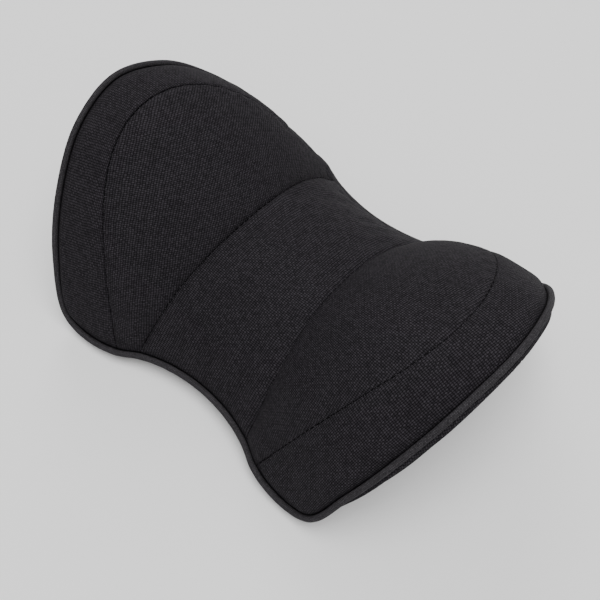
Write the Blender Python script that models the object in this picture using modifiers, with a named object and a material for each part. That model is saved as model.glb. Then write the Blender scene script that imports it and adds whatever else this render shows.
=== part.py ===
"""Saddle-shaped instrument rest: a foam core in a piped, five-panel woven cover closed by a zip.

Metres, +Z up. X runs along the long axis from end to end, Y across it. The origin is on the
surface that the rest stands on, under its middle. The shape is the same either side of X = 0
and either side of Y = 0, apart from the zip's slider and stops.
"""

import math

import bmesh
import bpy
from mathutils import Vector

MM = 0.001
WELD = 0.01 * MM

# Edge line: where the top and the underside covers meet, at the centre of the piping.
# One quarter, from the middle of an end, round the corner, to the middle of the waist.
EDGE_QUARTER = [
    Vector((103.0, 0.0, 77.2)) * MM,  # middle of the end
    Vector((100.0, 24.0, 70.5)) * MM,
    Vector((93.0, 45.0, 53.5)) * MM,
    Vector((82.0, 63.5, 29.0)) * MM,
    Vector((70.0, 73.0, 6.5)) * MM,  # corner
    Vector((40.5, 70.7, 5.5)) * MM,  # outer seam's end
    Vector((31.0, 66.0, 7.0)) * MM,  # inner seam's end
    Vector((0.0, 60.0, 8.0)) * MM,  # middle of the waist
]
OUTER_SEAM_KNOT, INNER_SEAM_KNOT, WAIST_KNOT = 5, 6, 7

# Seams across the top: apex X and Z, and how much of the bow is parabolic (the rest is quartic).
OUTER_SEAM = {"apex_x": 81.7 * MM, "apex_z": 77.5 * MM, "x_bow": 0.92, "z_bow": 0.57}
INNER_SEAM = {"apex_x": 25.3 * MM, "apex_z": 45.8 * MM, "x_bow": 1.6, "z_bow": 0.75}
CENTRE_LINE = {"apex_x": 0.0, "apex_z": 44.5 * MM, "x_bow": 1.0, "z_bow": 0.66}
BAND_CROWN = 1.0 * MM
WING_CROWN = 2.2 * MM
CROWN_FADE = 12.0 * MM  # the crown fades where a panel is narrower than this

# Underside: a channel along X with a flat crown, feet along both sides, and ends that sweep up.
CROWN_Z = 24.5 * MM
CROWN_END_X = 62.0 * MM
FOOT_DROP = 5.5 * MM
CROWN_SHARE, FOOT_START, FOOT_END = 0.25, 0.72, 0.80
HEEL_DROP = 4.0 * MM
HEEL_OUT = 3.0 * MM
HEEL_AT_TIP = 0.4  # how much of the bulge is left at the middle of the end
HEEL_SPLAY = 0.8
UPSWEEP = 0.5

COLUMNS = 20
BAND_STEPS, WING_STEPS, CENTRE_STEPS = 3, 4, 4

COVER_THICKNESS = 0.8 * MM
SEAM_GAP = 0.45 * MM
FOAM_INSET = 2.0 * MM
FOAM_MARGIN = 7.5 * MM

PIPING_RADIUS = 1.4 * MM
WRAP_THICKNESS = 0.4 * MM
CORD_RADIUS = 0.75 * MM
FLANGE_SLIT = 0.2 * MM
FLANGE_DEPTH = 3.4 * MM
COVER_EDGE_IN = 2.3 * MM
COVER_EDGE_UP = 1.7 * MM
TIP_SHARE = 0.12
WAY_SMOOTHING = 2

# Zip, along the crown of the channel.
ZIP_HALF = 52.0 * MM
SLIT_HALF_LENGTH = 53.0 * MM
SLIT_HALF_WIDTH = 4.0 * MM
CENTRE_SEAM_HALF_GAP = 0.3 * MM
TAPE_HALF_LENGTH = 56.0 * MM
TAPE_WIDTH = 9.0 * MM
TAPE_THICKNESS = 0.5 * MM
TAPE_CLEARANCE = 0.3 * MM
TAPE_BASE_Z = CROWN_Z + COVER_THICKNESS + TAPE_CLEARANCE
CHAIN_HALF_GAP = 0.65 * MM
COIL_WIDTH = 1.9 * MM
COIL_HEIGHT = 1.3 * MM
COIL_CLEARANCE = 0.1 * MM
TOOTH_PITCH = 2.0 * MM
TOOTH_LENGTH = 1.2 * MM
FIRST_TOOTH = {"back": 0.4 * MM, "front": 1.4 * MM}  # half a pitch apart, as the two sides mesh
COIL_SPINE = 0.8 * MM
COIL_END_GAP = 0.3 * MM
STOP_LENGTH = 1.6 * MM
STOP_WIDTH = COIL_WIDTH + 0.2 * MM
RELIEF_HALF_LENGTH = 60.0 * MM
RELIEF_HALF_WIDTH = 12.0 * MM
RELIEF_TOP_Z = 28.2 * MM
RELIEF_BOTTOM_Z = CROWN_Z - 4.0 * MM

SLIDER_LENGTH = 9.0 * MM
SLIDER_WIDTH = 6.8 * MM
SLIDER_PLATE = 1.2 * MM
SLIDER_EDGE = 0.3 * MM
SLIDER_CLEARANCE = 0.3 * MM
SLIDER_FLANGE = 0.7 * MM
SLIDER_POST_WIDTH = 0.7 * MM
SLIDER_POST_LENGTH = 3.0 * MM
SLIDER_REST_X = 45.5 * MM
BAIL_RADIUS = 0.45 * MM
BAIL_HALF_LENGTH = 1.9 * MM
BAIL_DROP = 2.3 * MM
BAIL_CORNER = 0.6 * MM

PULLER_LENGTH = 13.0 * MM
PULLER_WIDTH = 4.4 * MM
PULLER_THICKNESS = 0.8 * MM
PULLER_CORNER = 1.2 * MM
PULLER_BAR = 1.0 * MM
PULLER_SLOT = {"length": 2.9 * MM, "width": 1.7 * MM, "corner": 0.4 * MM}
PULLER_GRIP = {"length": 4.5 * MM, "width": 1.8 * MM, "corner": 0.85 * MM}
PULLER_SLOT_TO_GRIP = 2.2 * MM
PULLER_AXIS_DROP = 1.1 * MM


# ---------------------------------------------------------------- scene helpers


def clear_scene():
    for obj in list(bpy.data.objects):
        bpy.data.objects.remove(obj, do_unlink=True)


def make_collection(name):
    collection = bpy.data.collections.new(name)
    bpy.context.scene.collection.children.link(collection)
    return collection


def make_material(name, color, roughness, metallic=0.0):
    material = bpy.data.materials.new(name)
    material.use_nodes = True
    shader = material.node_tree.nodes["Principled BSDF"]
    shader.inputs["Base Color"].default_value = (*color, 1.0)
    shader.inputs["Roughness"].default_value = roughness
    shader.inputs["Metallic"].default_value = metallic
    return material


def add_object(name, data, collection, material):
    obj = bpy.data.objects.new(name, data)
    data.materials.append(material)
    collection.objects.link(obj)
    return obj


def mesh_from_bmesh(name, bm):
    mesh = bpy.data.meshes.new(name)
    bm.to_mesh(mesh)
    bm.free()
    mesh.shade_smooth()
    mesh.set_sharp_from_angle(angle=math.radians(40.0))
    return mesh


# ---------------------------------------------------------------- curves


def smooth_loop(knots, steps):
    """Points of a closed smooth curve through the knots, steps of them to each span."""
    count = len(knots)
    spans = [(knots[(i + 1) % count] - knots[i]).length for i in range(count)]
    tangents = []
    for i in range(count):
        before, after = spans[i - 1], spans[i]
        back = (knots[i] - knots[i - 1]) / before
        ahead = (knots[(i + 1) % count] - knots[i]) / after
        tangents.append((ahead * before + back * after) / (before + after))
    points = []
    for i in range(count):
        start, end = knots[i], knots[(i + 1) % count]
        for step in range(steps):
            t = step / steps
            points.append(
                start * (2 * t**3 - 3 * t**2 + 1)
                + tangents[i] * spans[i] * (t**3 - 2 * t**2 + t)
                + end * (3 * t**2 - 2 * t**3)
                + tangents[(i + 1) % count] * spans[i] * (t**3 - t**2)
            )
    return points


def evenly_spaced(points, count):
    """count + 1 points at equal distances along a polyline."""
    lengths = [0.0]
    for a, b in zip(points, points[1:]):
        lengths.append(lengths[-1] + (b - a).length)
    result, i = [], 0
    for k in range(count + 1):
        target = lengths[-1] * k / count
        while i < len(points) - 2 and lengths[i + 1] < target:
            i += 1
        share = (target - lengths[i]) / (lengths[i + 1] - lengths[i])
        result.append(points[i].lerp(points[i + 1], share))
    return result


def mirrored(points, axis):
    flip = Vector((1, 1, 1))
    flip[axis] = -1
    return [point * flip for point in points]


def edge_knots():
    end_to_waist = EDGE_QUARTER
    waist_to_end = mirrored(end_to_waist[-2::-1], 0)
    half = end_to_waist + waist_to_end
    return half + mirrored(half[-2:0:-1], 1)


def end_arc():
    """The edge line round the +X end, from the outer seam on the -Y side to the one on +Y."""
    steps = 12
    quarter = smooth_loop(edge_knots(), steps)[: OUTER_SEAM_KNOT * steps + 1]
    return evenly_spaced(mirrored(quarter[:0:-1], 1) + quarter, COLUMNS)


def top_arch(end, shape):
    """A line across the top, from -Y to +Y, that ends on the edge line."""
    fine = 80
    points = []
    for k in range(fine + 1):
        v = 2 * k / fine - 1
        x_share = shape["x_bow"] * v**2 + (1 - shape["x_bow"]) * v**4
        z_share = shape["z_bow"] * v**2 + (1 - shape["z_bow"]) * v**4
        x = shape["apex_x"] + (end.x - shape["apex_x"]) * x_share
        z = shape["apex_z"] + (end.z - shape["apex_z"]) * z_share
        points.append(Vector((x, end.y * v, z)))
    return evenly_spaced(points, COLUMNS)


def ease(t):
    t = min(max(t, 0.0), 1.0)
    return t * t * (3 - 2 * t)


def underside_arch(end, apex_x):
    """A line across the underside: flat crown, sloping side, foot, then up to the edge line."""
    points = []
    foot_z = end.z - FOOT_DROP
    for k in range(COLUMNS + 1):
        v = 2 * k / COLUMNS - 1
        side = abs(v)
        fall = ease((side - CROWN_SHARE) / (FOOT_START - CROWN_SHARE))
        toe = max(0.0, (side - FOOT_END) / (1 - FOOT_END)) ** 2
        z = CROWN_Z + (foot_z - CROWN_Z) * fall + (end.z - foot_z) * toe
        points.append(Vector((apex_x + (end.x - apex_x) * v**2, end.y * v, z)))
    return points


def heel_line(arc, outer):
    """The underside's bulge just below the end's edge line, turning in towards its tips."""
    points = []
    for k, (point, further_in) in enumerate(zip(arc, outer)):
        v = 2 * k / COLUMNS - 1
        swell = HEEL_AT_TIP * math.cos(math.pi / 2 * v)
        swell += (1 - HEEL_AT_TIP) * math.sin(math.pi * v) ** 2
        outward = Vector((1.0, HEEL_SPLAY * v, 0.0)) * HEEL_OUT * swell
        bulge = point + outward - Vector((0, 0, HEEL_DROP)) * (1 - v**6)
        points.append(bulge.lerp(further_in, v**8))
    return points


# ---------------------------------------------------------------- the two skins as rows


def between(row_a, row_b, share):
    return [a.lerp(b, share) for a, b in zip(row_a, row_b)]


def crowned(row_a, row_b, steps, crown):
    """Rows from row_a up to, not including, row_b, padded outwards by crown in the middle."""
    rows = []
    for step in range(steps):
        share = step / steps
        row = between(row_a, row_b, share)
        lift = crown * 4 * share * (1 - share)
        for k in range(1, COLUMNS):
            along = row[k + 1] - row[k - 1]
            across = row_a[k] - row_b[k]
            normal = across.cross(along).normalized()
            row[k] = row[k] + normal * lift * min(1.0, across.length / CROWN_FADE)
        rows.append(row)
    return rows


def top_rows():
    """Rows of the top skin, from the +X end to the -X end."""
    end = end_arc()
    outer = top_arch(EDGE_QUARTER[OUTER_SEAM_KNOT], OUTER_SEAM)
    inner = top_arch(EDGE_QUARTER[INNER_SEAM_KNOT], INNER_SEAM)
    centre = top_arch(EDGE_QUARTER[WAIST_KNOT], CENTRE_LINE)
    rows = crowned(end, outer, BAND_STEPS, BAND_CROWN)
    rows += crowned(outer, inner, WING_STEPS, WING_CROWN)
    far_inner = mirrored(inner, 0)
    for step in range(CENTRE_STEPS // 2):
        u = 1 - 2 * step / CENTRE_STEPS
        rows.append(
            [
                a * (u * (u + 1) / 2) + c * (1 - u * u) + b * (u * (u - 1) / 2)
                for a, c, b in zip(inner, centre, far_inner)
            ]
        )
    rows.append(centre)
    return rows + [mirrored(row, 0) for row in rows[-2::-1]]


def underside_rows():
    """Rows of the underside skin, each below the row of the same number in the top skin."""
    end = end_arc()
    outer = underside_arch(EDGE_QUARTER[OUTER_SEAM_KNOT], CROWN_END_X)
    heel = heel_line(end, outer)
    inner = underside_arch(EDGE_QUARTER[INNER_SEAM_KNOT], INNER_SEAM["apex_x"])
    centre = underside_arch(EDGE_QUARTER[WAIST_KNOT], 0.0)
    rows = [end, heel, between(outer, heel, UPSWEEP)]
    rows += [between(outer, inner, step / WING_STEPS) for step in range(WING_STEPS)]
    rows += [between(inner, centre, 2 * step / CENTRE_STEPS) for step in range(CENTRE_STEPS // 2)]
    rows.append(centre)
    return rows + [mirrored(row, 0) for row in rows[-2::-1]]


def rim_order(row_count):
    """(row, column) of each point of the edge line, in order round the cushion."""
    last = row_count - 1
    sides = range(BAND_STEPS, last - BAND_STEPS + 1)
    order = [(0, k) for k in range(1, COLUMNS)]
    order += [(r, COLUMNS) for r in sides]
    order += [(last, k) for k in range(COLUMNS - 1, 0, -1)]
    return order + [(r, 0) for r in reversed(sides)]


def step_in(address, row_count):
    r, k = address
    if r in (0, row_count - 1):
        return (1 if r == 0 else r - 1), k
    return r, (1 if k == 0 else k - 1)


def edge_frames(top, underside):
    """For each point of the edge line: the point, the way in between the skins, and up."""
    order = rim_order(len(top))
    points = [top[r][k] for r, k in order]
    ways = []
    for point, address in zip(points, order):
        r, k = step_in(address, len(top))
        ways.append((top[r][k] - point).normalized() + (underside[r][k] - point).normalized())
    for _ in range(WAY_SMOOTHING):
        around = zip(ways[-1:] + ways[:-1], ways, ways[1:] + ways[:1])
        ways = [(a.normalized() + b.normalized() * 2 + c.normalized()) / 4 for a, b, c in around]
    frames = []
    for i, (point, way_in) in enumerate(zip(points, ways)):
        along = (points[(i + 1) % len(points)] - points[i - 1]).normalized()
        way_in = (way_in - along * way_in.dot(along)).normalized()
        frames.append((point, way_in, along.cross(way_in).normalized()))
    return frames


def trimmed(rows, frames, side):
    """The skin with its rim moved off the edge line, to lie beside the piping's flange."""
    result = [list(row) for row in rows]
    for (r, k), (point, way_in, up) in zip(rim_order(len(rows)), frames):
        result[r][k] = point + way_in * COVER_EDGE_IN + up * COVER_EDGE_UP * side
    for r in range(BAND_STEPS):
        for k in (0, COLUMNS):
            result[r][k] = result[BAND_STEPS][k]
            result[-1 - r][k] = result[-1 - BAND_STEPS][k]
    return result


# ---------------------------------------------------------------- solids from rows


def pulled_in(row, neighbour, gap):
    """The row moved towards its neighbour by gap, where the two are apart."""
    moved = []
    for a, b in zip(row, neighbour):
        apart = b - a
        moved.append(a + apart.normalized() * gap if apart.length > gap else a.copy())
    return moved


def shell_mesh(name, rows, facing_up):
    """An open surface over the rows, with coincident points made one."""
    bm = bmesh.new()
    verts = [[bm.verts.new(point) for point in row] for row in rows]
    for r in range(len(rows) - 1):
        for k in range(len(rows[0]) - 1):
            corners = [verts[r][k], verts[r][k + 1], verts[r + 1][k + 1], verts[r + 1][k]]
            bm.faces.new(corners if facing_up else corners[::-1])
    bmesh.ops.remove_doubles(bm, verts=bm.verts, dist=WELD)
    bmesh.ops.dissolve_degenerate(bm, edges=bm.edges, dist=WELD)
    return mesh_from_bmesh(name, bm)


def add_cover(name, rows, facing_up, collection, material):
    obj = add_object(name, shell_mesh(name, rows, facing_up), collection, material)
    solidify = obj.modifiers.new("cloth thickness", "SOLIDIFY")
    solidify.thickness = COVER_THICKNESS
    solidify.offset = -1.0
    return obj


def add_top_panels(top, collection, material):
    stops = [0, BAND_STEPS, BAND_STEPS + WING_STEPS]
    stops += [len(top) - 1 - stop for stop in reversed(stops)]
    names = ["right_end_band", "right_wing_panel", "centre_panel", "left_wing_panel", "left_end_band"]
    for name, first, last in zip(names, stops, stops[1:]):
        rows = [list(row) for row in top[first : last + 1]]
        if first > 0:
            rows[0] = pulled_in(top[first], top[first + 1], SEAM_GAP)
        if last < len(top) - 1:
            rows[-1] = pulled_in(top[last], top[last - 1], SEAM_GAP)
        if name.endswith("band"):
            for tip, inner in ((0, 1), (COLUMNS, COLUMNS - 1)):
                middle = rows[0][inner].lerp(rows[-1][inner], 0.5)
                for row in rows:
                    row[tip] = top[BAND_STEPS if first == 0 else first][tip].lerp(middle, TIP_SHARE)
        add_cover(name, rows, True, collection, material)


def add_underside_panels(underside, collection, material):
    middle = COLUMNS // 2
    for name, side in (("underside_back_panel", 1), ("underside_front_panel", -1)):
        rows = []
        for row in underside:
            half = row[middle:] if side > 0 else row[middle::-1]
            over_zip = abs(half[0].x) < SLIT_HALF_LENGTH
            inner_y = SLIT_HALF_WIDTH if over_zip else CENTRE_SEAM_HALF_GAP
            opening = Vector((half[0].x, inner_y * side, half[0].z))
            rows.append([opening] + half[1:])
        add_cover(name, rows, side < 0, collection, material)


def foam_rows(rows, side):
    """The skin without its rim, moved inwards by the foam's inset."""

    def margin(point, inner):
        return point.lerp(inner, min(1.0, FOAM_MARGIN / max((inner - point).length, MM)))

    body = [[margin(a, b) for a, b in zip(rows[0], rows[2])]] + rows[2:-2]
    body.append([margin(a, b) for a, b in zip(rows[-1], rows[-3])])
    body = [[margin(row[0], row[1])] + row[2:-2] + [margin(row[-1], row[-2])] for row in body]
    inset = []
    for r, row in enumerate(body):
        before, after = body[max(r - 1, 0)], body[min(r + 1, len(body) - 1)]
        line = []
        for k, point in enumerate(row):
            across = after[k] - before[k]
            along = row[min(k + 1, len(row) - 1)] - row[max(k - 1, 0)]
            outward = along.cross(across).normalized() * side
            line.append(point - outward * FOAM_INSET)
        inset.append(line)
    return inset


def add_foam(top, underside, collection, cutters, material):
    """The core: both skins inset, joined round the rim, with a relief over the zip."""
    upper, lower = foam_rows(top, 1), foam_rows(underside, -1)
    bm = bmesh.new()
    grids = [[[bm.verts.new(p) for p in row] for row in rows] for rows in (upper, lower)]
    for grid, flip in zip(grids, (False, True)):
        for r in range(len(grid) - 1):
            for k in range(len(grid[0]) - 1):
                corners = [grid[r][k], grid[r][k + 1], grid[r + 1][k + 1], grid[r + 1][k]]
                bm.faces.new(corners[::-1] if flip else corners)
    last_r, last_k = len(upper) - 1, len(upper[0]) - 1
    border = [(0, k) for k in range(last_k)] + [(r, last_k) for r in range(last_r)]
    border += [(last_r, k) for k in range(last_k, 0, -1)] + [(r, 0) for r in range(last_r, 0, -1)]
    for (r, k), (r2, k2) in zip(border, border[1:] + border[:1]):
        up, low = grids
        bm.faces.new([up[r2][k2], up[r][k], low[r][k], low[r2][k2]])
    foam = add_object("foam_core", mesh_from_bmesh("foam_core", bm), collection, material)
    size = (2 * RELIEF_HALF_LENGTH, 2 * RELIEF_HALF_WIDTH, RELIEF_TOP_Z - RELIEF_BOTTOM_Z)
    centre = (0, 0, (RELIEF_TOP_Z + RELIEF_BOTTOM_Z) / 2)
    cutter = add_box("zip_relief", size, centre, cutters, material)
    cutter.display_type = "WIRE"
    cutter.hide_render = True
    relief = foam.modifiers.new("zip relief", "BOOLEAN")
    relief.object = cutter
    relief.operation = "DIFFERENCE"


def add_box(name, size, centre, collection, material):
    bm = bmesh.new()
    bmesh.ops.create_cube(bm, size=1.0)
    bmesh.ops.scale(bm, vec=size, verts=bm.verts)
    obj = add_object(name, mesh_from_bmesh(name, bm), collection, material)
    obj.location = centre
    return obj


# ---------------------------------------------------------------- piping


def wrap_section():
    """The folded strip's section, as (in, up): round the cord, with two lips that run inwards."""
    inner_radius = PIPING_RADIUS - WRAP_THICKNESS
    outer_lip = WRAP_THICKNESS + FLANGE_SLIT / 2
    inner_lip = FLANGE_SLIT / 2
    section = [(FLANGE_DEPTH, outer_lip)]
    steps = 8
    for radius, lip in ((PIPING_RADIUS, outer_lip), (inner_radius, inner_lip)):
        start = math.asin(lip / radius)
        arc = []
        for step in range(steps + 1):
            angle = start + (2 * math.pi - 2 * start) * step / steps
            arc.append((radius * math.cos(angle), radius * math.sin(angle)))
        if radius == PIPING_RADIUS:
            section += arc + [(FLANGE_DEPTH, -outer_lip), (FLANGE_DEPTH, -inner_lip)]
        else:
            section += arc[::-1] + [(FLANGE_DEPTH, inner_lip)]
    return section


def add_piping(frames, collection, wrap_material, cord_material):
    section = wrap_section()
    bm = bmesh.new()
    rings = [
        [bm.verts.new(point + way_in * a + up * b) for a, b in section]
        for point, way_in, up in frames
    ]
    for ring, following in zip(rings, rings[1:] + rings[:1]):
        for i in range(len(section)):
            j = (i + 1) % len(section)
            bm.faces.new([ring[i], ring[j], following[j], following[i]])
    bmesh.ops.recalc_face_normals(bm, faces=bm.faces)
    add_object("piping_wrap", mesh_from_bmesh("piping_wrap", bm), collection, wrap_material)

    cord = bpy.data.curves.new("piping_cord", "CURVE")
    cord.dimensions = "3D"
    cord.bevel_depth = CORD_RADIUS
    cord.bevel_resolution = 2
    spline = cord.splines.new("POLY")
    spline.points.add(len(frames) - 1)
    for slot, (point, _, _) in zip(spline.points, frames):
        slot.co = (*point, 1.0)
    spline.use_cyclic_u = True
    add_object("piping_cord", cord, collection, cord_material)


# ---------------------------------------------------------------- zip


def flat_outline(name, outlines, thickness, collection, material):
    """A flat piece from closed outlines in XY; outlines after the first are holes."""
    curve = bpy.data.curves.new(name, "CURVE")
    curve.dimensions = "2D"
    curve.fill_mode = "BOTH"
    curve.extrude = thickness / 2
    for outline in outlines:
        spline = curve.splines.new("POLY")
        spline.points.add(len(outline) - 1)
        for slot, (x, y) in zip(spline.points, outline):
            slot.co = (x, y, 0.0, 1.0)
        spline.use_cyclic_u = True
    return add_object(name, curve, collection, material)


def tooth_outline(side, first_tooth):
    """One side's teeth as a comb: a spine, with a tooth at each pitch towards the other side."""
    spine_out = CHAIN_HALF_GAP + COIL_WIDTH
    spine_in = spine_out - COIL_SPINE
    end = ZIP_HALF - STOP_LENGTH - COIL_END_GAP
    outline = [(-end, spine_out), (-end, spine_in)]
    x = -end + first_tooth
    while x + TOOTH_LENGTH < end:
        outline += [(x, spine_in), (x, CHAIN_HALF_GAP)]
        outline += [(x + TOOTH_LENGTH, CHAIN_HALF_GAP), (x + TOOTH_LENGTH, spine_in)]
        x += TOOTH_PITCH
    outline += [(end, spine_in), (end, spine_out)]
    return [(x, y * side) for x, y in outline]


def add_zip_chain(collection, tape_material, coil_material, metal):
    coil_z = TAPE_BASE_Z - COIL_CLEARANCE - COIL_HEIGHT / 2
    for word, side in (("back", 1), ("front", -1)):
        tape_y = side * (CHAIN_HALF_GAP + TAPE_WIDTH / 2)
        size = (2 * TAPE_HALF_LENGTH, TAPE_WIDTH, TAPE_THICKNESS)
        centre = (0, tape_y, TAPE_BASE_Z + TAPE_THICKNESS / 2)
        add_box(f"zip_tape_{word}", size, centre, collection, tape_material)
        teeth = flat_outline(
            f"zip_teeth_{word}",
            [tooth_outline(side, FIRST_TOOTH[word])],
            COIL_HEIGHT,
            collection,
            coil_material,
        )
        teeth.location = (0, 0, coil_z)
        stop_y = side * (CHAIN_HALF_GAP + STOP_WIDTH / 2)
        size = (STOP_LENGTH, STOP_WIDTH, COIL_HEIGHT)
        centre = (ZIP_HALF - STOP_LENGTH / 2, stop_y, coil_z)
        add_box(f"zip_top_stop_{word}", size, centre, collection, metal)
    size = (STOP_LENGTH, 2 * (CHAIN_HALF_GAP + STOP_WIDTH), COIL_HEIGHT)
    add_box("zip_bottom_stop", size, (-ZIP_HALF + STOP_LENGTH / 2, 0, coil_z), collection, metal)


def add_slider(collection, cutters, metal):
    """The slider: two plates joined by a post between the teeth, side flanges, and a bail."""
    coil_bottom = TAPE_BASE_Z - COIL_CLEARANCE - COIL_HEIGHT
    outer_top = coil_bottom - SLIDER_CLEARANCE
    outer_z = outer_top - SLIDER_PLATE / 2
    inner_bottom = TAPE_BASE_Z + TAPE_THICKNESS + SLIDER_CLEARANCE
    flange_top = TAPE_BASE_Z - SLIDER_CLEARANCE
    size = (SLIDER_LENGTH, SLIDER_WIDTH, SLIDER_PLATE)
    slider = add_box("zip_slider", size, (SLIDER_REST_X, 0, outer_z), collection, metal)
    bevel = slider.modifiers.new("plate edges", "BEVEL")
    bevel.width = SLIDER_EDGE
    bevel.segments = 2
    flange = (SLIDER_LENGTH, SLIDER_FLANGE, flange_top - outer_z)
    flange_y = (SLIDER_WIDTH - SLIDER_FLANGE) / 2
    post = (SLIDER_POST_LENGTH, SLIDER_POST_WIDTH, inner_bottom - outer_z + SLIDER_PLATE / 2)
    added = [("inner_plate", size, 0, inner_bottom + SLIDER_PLATE / 2)]
    added.append(("back_flange", flange, flange_y, outer_z + flange[2] / 2))
    added.append(("front_flange", flange, -flange_y, outer_z + flange[2] / 2))
    added.append(("post", post, 0, outer_z + post[2] / 2))
    helpers = [add_bail(outer_z, cutters, metal)]
    for name, part_size, y, z in added:
        helpers.append(add_box(f"slider_{name}", part_size, (SLIDER_REST_X, y, z), cutters, metal))
    for helper in helpers:
        helper.display_type = "WIRE"
        helper.hide_render = True
        union = slider.modifiers.new(helper.name, "BOOLEAN")
        union.object = helper
        union.operation = "UNION"
    return outer_z - SLIDER_PLATE / 2


def add_bail(root_z, cutters, metal):
    """The loop under the slider that carries the puller, as a mesh with welded caps."""
    low_z = root_z - SLIDER_PLATE / 2 - BAIL_DROP
    half = BAIL_HALF_LENGTH
    path = [(-half, root_z), (-half, low_z + BAIL_CORNER), (-half + BAIL_CORNER, low_z)]
    path += [(half - BAIL_CORNER, low_z), (half, low_z + BAIL_CORNER), (half, root_z)]
    curve = bpy.data.curves.new("slider_bail", "CURVE")
    curve.dimensions = "3D"
    curve.bevel_depth = BAIL_RADIUS
    curve.bevel_resolution = 2
    curve.use_fill_caps = True
    spline = curve.splines.new("POLY")
    spline.points.add(len(path) - 1)
    for slot, (x, z) in zip(spline.points, path):
        slot.co = (SLIDER_REST_X + x, 0.0, z, 1.0)
    draft = bpy.data.objects.new("slider_bail_curve", curve)
    cutters.objects.link(draft)
    bpy.context.view_layer.update()
    evaluated = draft.evaluated_get(bpy.context.evaluated_depsgraph_get())
    mesh = bpy.data.meshes.new_from_object(evaluated)
    bpy.data.objects.remove(draft, do_unlink=True)
    bm = bmesh.new()
    bm.from_mesh(mesh)
    bmesh.ops.remove_doubles(bm, verts=bm.verts, dist=WELD)
    bmesh.ops.recalc_face_normals(bm, faces=bm.faces)
    bm.to_mesh(mesh)
    bm.free()
    return add_object("slider_bail", mesh, cutters, metal)


def rounded_bar(start_y, length, width, corner):
    """A closed outline with round corners, from start_y along -Y."""
    half, end_y = width / 2, start_y - length
    steps = 3
    outline = []
    corners = [
        (half - corner, start_y - corner, 0),
        (-half + corner, start_y - corner, 1),
        (-half + corner, end_y + corner, 2),
        (half - corner, end_y + corner, 3),
    ]
    for x, y, quarter in corners:
        for step in range(steps + 1):
            angle = math.pi / 2 * (quarter + step / steps)
            outline.append((x + corner * math.cos(angle), y + corner * math.sin(angle)))
    return outline


def add_puller(plate_bottom, collection, metal):
    """The puller, hanging from the bail. Its origin is on the hinge axis, which runs along Y."""
    hinge = bpy.data.objects.new("puller_hinge", None)
    hinge.location = (SLIDER_REST_X, 0, plate_bottom - PULLER_AXIS_DROP)
    collection.objects.link(hinge)
    body = rounded_bar(PULLER_BAR / 2, PULLER_LENGTH, PULLER_WIDTH, PULLER_CORNER)
    slot = rounded_bar(-PULLER_BAR / 2, **PULLER_SLOT)
    grip_top = -PULLER_BAR / 2 - PULLER_SLOT["length"] - PULLER_SLOT_TO_GRIP
    grip_hole = rounded_bar(grip_top, **PULLER_GRIP)
    puller = flat_outline("zip_puller", [body, slot, grip_hole], PULLER_THICKNESS, collection, metal)
    puller.rotation_euler = (math.pi / 2, 0, math.pi / 2)
    puller.parent = hinge


def main():
    clear_scene()
    collection = make_collection("saddle_instrument_rest")
    cutters = make_collection("cutters")
    weave = make_material("black_woven_nylon", (0.020, 0.018, 0.021), 0.85)
    piping_cloth = make_material("black_piping_tape", (0.024, 0.022, 0.025), 0.75)
    foam = make_material("grey_foam", (0.16, 0.16, 0.17), 0.95)
    cord = make_material("piping_cord_pe", (0.55, 0.55, 0.53), 0.6)
    tape = make_material("black_zip_tape", (0.018, 0.018, 0.020), 0.9)
    coil = make_material("black_nylon_coil", (0.015, 0.015, 0.017), 0.4)
    metal = make_material("black_coated_zinc", (0.03, 0.03, 0.032), 0.35, 0.8)

    top, underside = top_rows(), underside_rows()
    frames = edge_frames(top, underside)
    top = trimmed(top, frames, 1)
    underside = trimmed(underside, frames, -1)
    add_top_panels(top, collection, weave)
    add_underside_panels(underside, collection, weave)
    add_foam(top, underside, collection, cutters, foam)
    add_piping(frames, collection, piping_cloth, cord)
    add_zip_chain(collection, tape, coil, metal)
    plate_bottom = add_slider(collection, cutters, metal)
    add_puller(plate_bottom, collection, metal)


main()
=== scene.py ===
"""Looks of the padded saddle rest: cloth, piping, thread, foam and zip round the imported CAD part.

Metres, in the CAD's frame: X along the length, Y across, Z up, with the rest standing on Z = 0.
The skins follow the same driving dimensions as the CAD's solids, at a finer spacing.
"""

import math

import bmesh
import bpy
import numpy as np
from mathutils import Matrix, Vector
from mathutils.kdtree import KDTree


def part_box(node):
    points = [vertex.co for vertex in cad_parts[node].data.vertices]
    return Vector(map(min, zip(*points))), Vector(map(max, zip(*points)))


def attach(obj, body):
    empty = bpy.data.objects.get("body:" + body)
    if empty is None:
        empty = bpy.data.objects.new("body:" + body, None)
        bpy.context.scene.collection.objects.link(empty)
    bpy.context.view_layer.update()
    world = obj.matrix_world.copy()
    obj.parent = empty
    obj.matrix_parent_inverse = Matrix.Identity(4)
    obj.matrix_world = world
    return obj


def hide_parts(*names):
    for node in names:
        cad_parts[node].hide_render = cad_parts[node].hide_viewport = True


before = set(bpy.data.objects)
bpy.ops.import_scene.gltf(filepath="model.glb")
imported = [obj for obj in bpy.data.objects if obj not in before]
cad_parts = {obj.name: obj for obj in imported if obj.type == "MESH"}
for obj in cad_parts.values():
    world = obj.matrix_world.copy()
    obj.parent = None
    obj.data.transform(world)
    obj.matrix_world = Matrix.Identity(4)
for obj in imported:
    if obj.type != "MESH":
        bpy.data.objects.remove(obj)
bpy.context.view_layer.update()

MM = 0.001

# ---------------------------------------------------------------- driving dimensions

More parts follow.
